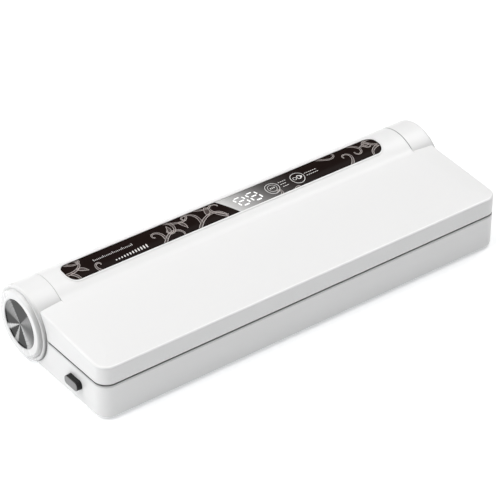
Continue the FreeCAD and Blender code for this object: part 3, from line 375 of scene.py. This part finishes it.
def plain_metal(name, level, roughness, warm=0.0):
    """Plated or machined metal with fine tool marks."""
    n = Nodes(name)
    streak = n.noise(600.0, 3.0, 0.6)
    n.set(Base_Color=n.mix(streak, grey(level * 0.88, warm), grey(level, warm)), Metallic=1.0)
    n.set(Roughness=n.map(streak, roughness - 0.06, roughness + 0.06))
    n.set(Normal=n.bump(streak, 0.1, 0.02 * MM, 0.1 * MM))
    return n.material


WEAVE_PITCH = 0.9 * MM


def woven_tape():
    """Non-stick tape: brown coated glass cloth with its weave showing."""
    n = Nodes("woven_tape")
    x, y, _ = n.axes()
    warp = n.math("SINE", n.times(x, 2 * math.pi / WEAVE_PITCH))
    weft = n.math("SINE", n.times(y, 2 * math.pi / WEAVE_PITCH))
    weave = n.map(n.times(warp, weft), 0.0, 1.0, -1.0, 1.0)
    n.set(Base_Color=n.mix(weave, (0.16, 0.085, 0.04, 1.0), (0.26, 0.15, 0.08, 1.0)))
    n.set(Roughness=n.map(weave, 0.35, 0.5), Normal=n.bump(weave, 0.4, 0.05 * MM))
    return n.material


def foam():
    """Closed-cell foam: fine open pores over a dark body."""
    n = Nodes("foam")
    cells = n.add("ShaderNodeTexVoronoi", Vector=n.place, Scale=1300.0).outputs["Distance"]
    n.set(Base_Color=n.mix(n.map(cells, 0.0, 1.0, 0.1, 0.6), grey(0.09), grey(0.035)))
    n.set(Roughness=n.map(cells, 0.9, 0.7), Normal=n.bump(cells, 0.6, 0.15 * MM))
    return n.material


def circuit_board():
    """Green solder resist with faint tracks."""
    n = Nodes("circuit_board")
    tracks = n.add("ShaderNodeTexBrick", Vector=n.place, Scale=90.0, Color1=(0.02, 0.13, 0.05, 1),
                   Color2=(0.015, 0.11, 0.04, 1), Mortar=(0.03, 0.2, 0.08, 1))
    n.set(Base_Color=tracks.outputs["Color"], Roughness=n.map(n.noise(80.0), 0.25, 0.4))
    return n.material


MATERIALS = {
    "white_shell": shell_white(),
    "base_plate": moulded("base_plate", 0.70, 0.55, 900.0, 0.10 * MM, 0.03, 0.0, 0.3 * MM).material,
    "inner_moulding": moulded("inner_moulding", 0.66, 0.45, 1100.0, 0.04 * MM, 0.02, 0.0, 0.3 * MM).material,
    "spun_metal": spun_metal(),
    "button_grey": push_button(),
    "black_gloss": overlay_print(),
    "dark_rubber": moulded("dark_rubber", 0.03, 0.75, 700.0, 0.08 * MM, 0.10, 0.0, 0.3 * MM).material,
    "gasket_foam": foam(),
    "clear_hose": moulded("clear_hose", 0.60, 0.35, 500.0, 0.03 * MM, 0.03).material,
    "heat_board": moulded("heat_board", 0.22, 0.6, 800.0, 0.06 * MM, 0.10, 0.12).material,
    "nonstick_film": woven_tape(),
    "bright_steel": plain_metal("bright_steel", 0.62, 0.28),
    "bearing_brass": plain_metal("bearing_brass", 0.55, 0.32, 0.30),
    "circuit_board": circuit_board(),
    "black_parts": moulded("black_parts", 0.02, 0.5, 900.0, 0.06 * MM, 0.08, 0.0, 0.2 * MM).material,
    "lead_cover": moulded("lead_cover", 0.35, 0.5, 700.0, 0.04 * MM, 0.05).material,
    "plain_aluminium": plain_metal("plain_aluminium", 0.68, 0.34),
    "pump_plastic": moulded("pump_plastic", 0.06, 0.5, 800.0, 0.06 * MM, 0.06).material,
    "transformer_core": moulded("transformer_core", 0.09, 0.45, 500.0, 0.10 * MM, 0.15, 0.05).material,
}
BEZEL = bezel_white()
INK_LINE = ink("ink_line", (0.56, 0.51, 0.49), 0.35)
INK_LEAF = ink("ink_leaf", (0.06, 0.045, 0.042), 0.35)
INK_WHITE = ink("ink_white", (0.80, 0.79, 0.78), 0.35)
LIT_WHITE = ink("lit_white", (0.95, 0.95, 0.95), 0.40, 0.35)


def dress_cad():
    """Give every CAD node the material of its slot."""
    slots = {part["node"]: part["material_slot"] for part in frame["record"]["subparts"]}
    for name, node in frame["nodes"].items():
        material = BEZEL if name.startswith("end_bezel") else MATERIALS[slots[name]]
        if not node.material_slots:
            node.data.materials.append(material)
        for place in node.material_slots:
            place.material = material


# ---- print on the curved panel ----
def on_panel(x, v, lift):
    """The point at x along the panel and v across it, a little above its surface."""
    angle = PANEL_MIDDLE - v / PANEL_R
    radius = PANEL_R + lift
    return Vector((x, AXIS_Y + radius * math.cos(angle), AXIS_Z + radius * math.sin(angle)))


def inside_panel(x, v):
    """Whether a point keeps a margin from the panel's edge and its rounded corners."""
    middle = (panel_low.x + panel_high.x) / 2
    past_end = abs(x - middle) - (panel_high.x - middle - PANEL_CORNER)
    past_side = abs(v) - (PANEL_HALF - PANEL_CORNER)
    if min(past_end, past_side) > 0:
        return math.hypot(past_end, past_side) < PANEL_CORNER - PRINT_MARGIN
    return max(past_end, past_side) < PANEL_CORNER - PRINT_MARGIN


def clipped(points):
    """The runs of a stroke that lie on the panel."""
    run = []
    for point in points:
        if inside_panel(point[0], point[1]):
            run.append(point)
        else:
            if len(run) > 2:
                yield run
            run = []
    if len(run) > 2:
        yield run


def stroke(bm, points, closed=False):
    """A raised line of ink through (x, v, width) points, as a closed strip with its own thickness."""
    rings = []
    last = len(points) - 1
    for i, (x, v, width) in enumerate(points):
        before = points[i - 1] if i or closed else points[0]
        after = points[(i + 1) % len(points)] if i < last or closed else points[last]
        run = Vector((after[0] - before[0], after[1] - before[1])).normalized()
        dx, dv = -run.y * width / 2, run.x * width / 2
        corners = [(x + dx, v + dv, -PRINT_SINK), (x + dx, v + dv, PRINT_LIFT),
                   (x - dx, v - dv, PRINT_LIFT), (x - dx, v - dv, -PRINT_SINK)]
        rings.append([bm.verts.new(on_panel(*corner)) for corner in corners])
    pairs = list(zip(rings, rings[1:]))
    if closed:
        pairs.append((rings[-1], rings[0]))
    else:
        bm.faces.new(rings[0])
        bm.faces.new(rings[-1][::-1])
    for here, there in pairs:
        for i in range(4):
            j = (i + 1) % 4
            bm.faces.new((here[i], there[i], there[j], here[j]))


def bar(x0, v0, x1, v1, width, steps=8):
    """A straight stroke with round ends."""
    length = math.hypot(x1 - x0, v1 - v0)
    points = []
    for i in range(steps + 1):
        t = i / steps
        along = length * t
        end = min(along, length - along)
        half = width / 2
        round_off = math.sqrt(max(0.0, half ** 2 - max(0.0, half - end) ** 2))
        points.append((x0 + (x1 - x0) * t, v0 + (v1 - v0) * t, 2 * max(round_off, 0.12 * half)))
    return points


def circle(x, v, radius, width, steps=40):
    """A closed ring."""
    turns = [2 * math.pi * i / steps for i in range(steps)]
    return [(x + radius * math.cos(a), v + radius * math.sin(a), width) for a in turns]


def finish_piece(name, bm, material, body):
    """Turn a bmesh into a piece that rides on a body."""
    bmesh.ops.recalc_face_normals(bm, faces=bm.faces)
    mesh = bpy.data.meshes.new(name)
    bm.to_mesh(mesh)
    bm.free()
    mesh.materials.append(material)
    piece = bpy.data.objects.new(name, mesh)
    bpy.context.scene.collection.objects.link(piece)
    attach(piece, body)


def curl(x, v, heading, length, hand, width, steps=34):
    """A tendril that winds up towards its end, and tapers off."""
    points = []
    for i in range(steps + 1):
        t = i / steps
        points.append((x, v, width * (1.0 - 0.75 * t)))
        heading += hand * (0.35 + 3.3 * t + 7.5 * t * t) / steps
        x += math.cos(heading) * length / steps
        v += math.sin(heading) * length / steps
    return points


def leaf(x, v, heading, length, breadth, bow, steps=12):
    """A bowed leaf as one wide stroke from its stalk to its tip."""
    points = []
    for i in range(steps + 1):
        t = i / steps
        along = length * t
        across = bow * length * t * t
        width = max(2 * breadth * math.sin(math.pi * t ** 0.75), 0.04 * MM)
        points.append((x + along * math.cos(heading) - across * math.sin(heading),
                       v + along * math.sin(heading) + across * math.cos(heading), width))
    return points


def outline(wide, width):
    """The two edges of a wide stroke, as one closed line."""
    edges = ([], [])
    last = len(wide) - 1
    for i, (x, v, breadth) in enumerate(wide):
        before = wide[max(i - 1, 0)]
        after = wide[min(i + 1, last)]
        heading = math.atan2(after[1] - before[1], after[0] - before[0])
        dx, dv = -breadth / 2 * math.sin(heading), breadth / 2 * math.cos(heading)
        edges[0].append((x + dx, v + dv, width))
        edges[1].append((x - dx, v - dv, width))
    return edges[0] + edges[1][::-1]


def heading_at(stem, i):
    """The way that a stem runs at one of its points."""
    return math.atan2(stem[i + 1][1] - stem[i][1], stem[i + 1][0] - stem[i][0])


LEAF_POINT = 13                                  # where on a stem its leaf sits
BRANCH_POINT = 6                                 # and where it branches


def spray(lines, fills, x, v, heading, size, hand, depth):
    """A scrolled band with a leaf on its outer side and a smaller band that winds the other way."""
    stem = curl(x, v, heading, size, hand, SCROLL_W)
    lines.append(outline(stem, LINE_W))
    fills.append(stem)
    if depth:
        x, v, _ = stem[LEAF_POINT]
        away = heading_at(stem, LEAF_POINT) - hand * 0.7
        blade = leaf(x, v, away, size * 0.26, size * 0.045, -0.3 * hand)
        lines.append(outline(blade, LINE_W))
        fills.append(blade)
        x, v, _ = stem[BRANCH_POINT]
        away = heading_at(stem, BRANCH_POINT) - hand * 0.8
        spray(lines, fills, x, v, away, size * 0.6, -hand, depth - 1)


# Where each spray starts: x, v, heading, length in mm, the way it winds, and how often it branches.
SPRAYS = [(-157, -2, -0.1, 34, 1, 1), (-150, 11, -0.9, 22, 1, 0), (-124, -13, 2.6, 18, -1, 0),
          (-70, -12, 0.9, 34, -1, 1), (-58, 11, -0.8, 34, 1, 1), (-38, -12, 0.8, 48, -1, 1),
          (-8, -9, 2.6, 30, -1, 0), (-28, 11, -0.7, 24, 1, 0), (40, -12, 0.4, 12, 1, 0),
          (56, -11.5, 0.8, 9, -1, 0), (92, 11, -0.9, 26, 1, 0), (124, 11, -0.7, 24, -1, 0),
          (112, -12, 0.7, 24, 1, 0), (152, -5, 2.7, 36, -1, 1), (150, 8, 2.9, 26, 1, 0)]


def make_ornament():
    """Sprays of tendrils along the panel, cut off by its edge as a printed pattern would be."""
    lines = []
    fills = []
    for x, v, heading, size, hand, depth in SPRAYS:
        spray(lines, fills, x * MM, v * MM, heading, size * MM, hand, depth)
    for name, strokes, colour in (("panel_ornament", lines, INK_LINE), ("panel_leaves", fills, INK_LEAF)):
        bm = bmesh.new()
        for points in strokes:
            for run in clipped(points):
                stroke(bm, run)
        finish_piece(name, bm, colour, "lid")


def make_digits():
    """Two slanted seven-segment figures, every segment lit."""
    bm = bmesh.new()
    half_w = DIGIT_W / 2
    half_h = DIGIT_H / 2
    level = [(-half_w, v, half_w, v) for v in (-half_h, 0.0, half_h)]
    upright = [(side * half_w, low, side * half_w, low + half_h)
               for side in (-1, 1) for low in (-half_h, 0.0)]
    for centre in DIGIT_X:
        for x0, v0, x1, v1 in level + upright:
            gap = SEGMENT_GAP_LEVEL if v0 == v1 else SEGMENT_GAP_UPRIGHT
            run = Vector((x1 - x0, v1 - v0)).normalized() * gap
            ends = [(x0 + run.x, v0 + run.y), (x1 - run.x, v1 - run.y)]
            (xa, va), (xb, vb) = [(centre + x + DIGIT_SLANT * v, KEY_V + v) for x, v in ends]
            stroke(bm, bar(xa, va, xb, vb, DIGIT_STROKE))
    finish_piece("display_digits", bm, LIT_WHITE, "lid")


def make_scales():
    """Time ticks, a rising row of level bars, and rows of dashes beside the keys."""
    bm = bmesh.new()
    for i in range(TICKS):
        x = TICK_X + TICK_PITCH * i
        height = (2.6 if i % 6 == 0 else 1.5) * MM
        stroke(bm, bar(x, TICK_V, x, TICK_V + height, 0.45 * MM))
    for i in range(BARS):
        x = BAR_X + BAR_PITCH * i
        height = (1.3 + 0.22 * i) * MM
        stroke(bm, bar(x, BAR_V, x, BAR_V + height, 1.1 * MM))
    for key, rows, length in (("mode_key", 3, 7.0), ("seal_key", 2, 12.0)):
        for row in range(rows):
            v = KEY_V + DASH_ROW * ((rows - 1) / 2 - row)
            start = KEYS[key] + (7.6 + 0.5 * row) * MM
            end = start + (length - 1.3 * row) * MM
            while start < end:
                stroke(bm, bar(start, v, start + DASH, v, 0.6 * MM))
                start += DASH_PITCH
    finish_piece("panel_scales", bm, INK_WHITE, "lid")


def make_mode_mark():
    """A double ring on the mode key, with three dots in it."""
    x = KEYS["mode_key"]
    bm = bmesh.new()
    stroke(bm, circle(x, KEY_V, KEY_RING_R, KEY_RING_W), True)
    stroke(bm, circle(x, KEY_V, 3.9 * MM, 0.32 * MM), True)
    for step in (-1, 0, 1):
        centre = x + step * 1.7 * MM
        stroke(bm, bar(centre, KEY_V - 0.75 * MM, centre, KEY_V + 0.75 * MM, 0.95 * MM))
    finish_piece("mode_mark", bm, INK_WHITE, "mode_key")


def make_seal_mark():
    """A ring on the seal key, with a small ring and a drop in it."""
    x = KEYS["seal_key"]
    bm = bmesh.new()
    stroke(bm, circle(x, KEY_V, KEY_RING_R, KEY_RING_W), True)
    stroke(bm, circle(x - 2.7 * MM, KEY_V, 1.5 * MM, 0.35 * MM), True)
    steps = 12
    drop = []
    for i in range(steps + 1):
        t = i / steps
        width = max(4.6 * MM * math.sin(math.pi * t ** 0.62) ** 0.8, 0.1 * MM)
        drop.append((x + (-0.6 + 5.2 * t) * MM, KEY_V, width))
    stroke(bm, drop)
    finish_piece("seal_mark", bm, INK_WHITE, "seal_key")


# ---- copies of parts that sit under a moving one ----
KEY_UP = Vector((0, math.cos(KEY_ANGLE), math.sin(KEY_ANGLE)))
PART_REACH = 10.0 * MM                           # no such part reaches further from its middle


def yielding_copy(name, node, up, middle):
    """A copy of the part of a CAD node round x = middle, in place of the node, which is hidden."""
    piece = frame["nodes"][node].copy()
    piece.name = name
    bm = bmesh.new()
    bm.from_mesh(piece.data)
    far = [vert for vert in bm.verts if abs(vert.co.x - middle) > PART_REACH]
    bmesh.ops.delete(bm, geom=far, context="VERTS")
    heights = {vert.co.dot(up): tuple(vert.co) for vert in bm.verts}
    piece.data = piece.data.copy()
    bm.to_mesh(piece.data)
    bm.free()
    bpy.context.scene.collection.objects.link(piece)
    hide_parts(node)
    low, high = min(heights), max(heights)
    tuple(heights[low])
    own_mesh(piece)
    return piece


def make_yielding_parts():
    """The latches' return springs under the hooks' tails, and the switches under the keys."""
    for side in ("left", "right"):
        node = "latch_spring_" + side
        low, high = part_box(node)
        spring = yielding_copy("return_spring_" + side, node, Vector((0, 0, 1)),
                               (low.x + high.x) / 2)
    for key, middle in KEYS.items():
        switch = yielding_copy(key + "_switch", "key_switches", KEY_UP, middle)


# ---- surroundings ----
FLOOR_HALF = 3.0


def make_floor():
    """A wide pale floor, faintly lit from within so that shadows stay soft."""
    mesh = bpy.data.meshes.new("floor")
    corners = [(-FLOOR_HALF, -FLOOR_HALF, 0), (FLOOR_HALF, -FLOOR_HALF, 0),
               (FLOOR_HALF, FLOOR_HALF, 0), (-FLOOR_HALF, FLOOR_HALF, 0)]
    mesh.from_pydata(corners, [], [(0, 1, 2, 3)])
    floor = bpy.data.objects.new("floor", mesh)
    bpy.context.scene.collection.objects.link(floor)
    n = Nodes("floor_white")
    n.set(Base_Color=n.mix(n.noise(2.0), grey(0.80), grey(0.82)), Roughness=0.9)
    glow = n.map(n.axes()["X"], 0.455, 0.375, -250.0 * MM, 350.0 * MM)    # a little less to the right
    n.set(Emission_Color=(0.965, 0.985, 1.0, 1.0), Emission_Strength=glow)
    floor.data.materials.append(n.material)


def make_world():
    """A dim, even surround: the floor and the softboxes do the lighting."""
    world = bpy.data.worlds.new("studio")
    bpy.context.scene.world = world
    world.use_nodes = True
    world.node_tree.nodes["Background"].inputs["Strength"].default_value = 0.02


# Softboxes over the object: which way each lies, its side in metres and its power in watts.
SOFTBOX_REACH = 2.0
SOFTBOXES = {"overhead": ((0.0, 0.0, 1.0), 1.2, 13.8), "left": ((-0.7, 0.1, 0.7), 1.2, 19.2),
             "right": ((0.6, 0.0, 0.8), 1.2, 17.6), "rear": ((-0.3, 0.5, 0.81), 1.2, 11.2)}


def make_softboxes():
    """Square area lights that all face the object."""
    for name, (way, side, power) in SOFTBOXES.items():
        data = bpy.data.lights.new(name, "AREA")
        data.size = side
        data.energy = power
        data.color = (1.0, 0.998, 0.995)
        lamp = bpy.data.objects.new(name, data)
        lamp.location = Vector(way) * SOFTBOX_REACH
        lamp.rotation_euler = Vector(way).to_track_quat("Z", "Y").to_euler()
        bpy.context.scene.collection.objects.link(lamp)


def make_camera():
    """The long-lens view from the front left."""
    data = bpy.data.cameras.new("camera")
    data.lens = LENS
    data.sensor_width = 36.0
    data.clip_start = 0.1
    data.clip_end = 20.0
    camera = bpy.data.objects.new("camera", data)
    flat = math.cos(CAMERA_ELEVATION)
    back = Vector((math.sin(CAMERA_AZIMUTH) * flat, -math.cos(CAMERA_AZIMUTH) * flat,
                   math.sin(CAMERA_ELEVATION)))
    turn = back.to_track_quat("Z", "Y").to_matrix() @ Matrix.Rotation(CAMERA_ROLL, 3, "Z")
    camera.matrix_world = Matrix.Translation(CAMERA_AIM + back * CAMERA_DISTANCE) @ turn.to_4x4()
    bpy.context.scene.collection.objects.link(camera)
    bpy.context.scene.camera = camera


dress_cad()
make_ornament()
make_scales()
make_digits()
make_mode_mark()
make_seal_mark()
make_yielding_parts()
make_floor()
make_world()
make_softboxes()
make_camera()
bpy.context.scene.view_settings.view_transform = "Standard"
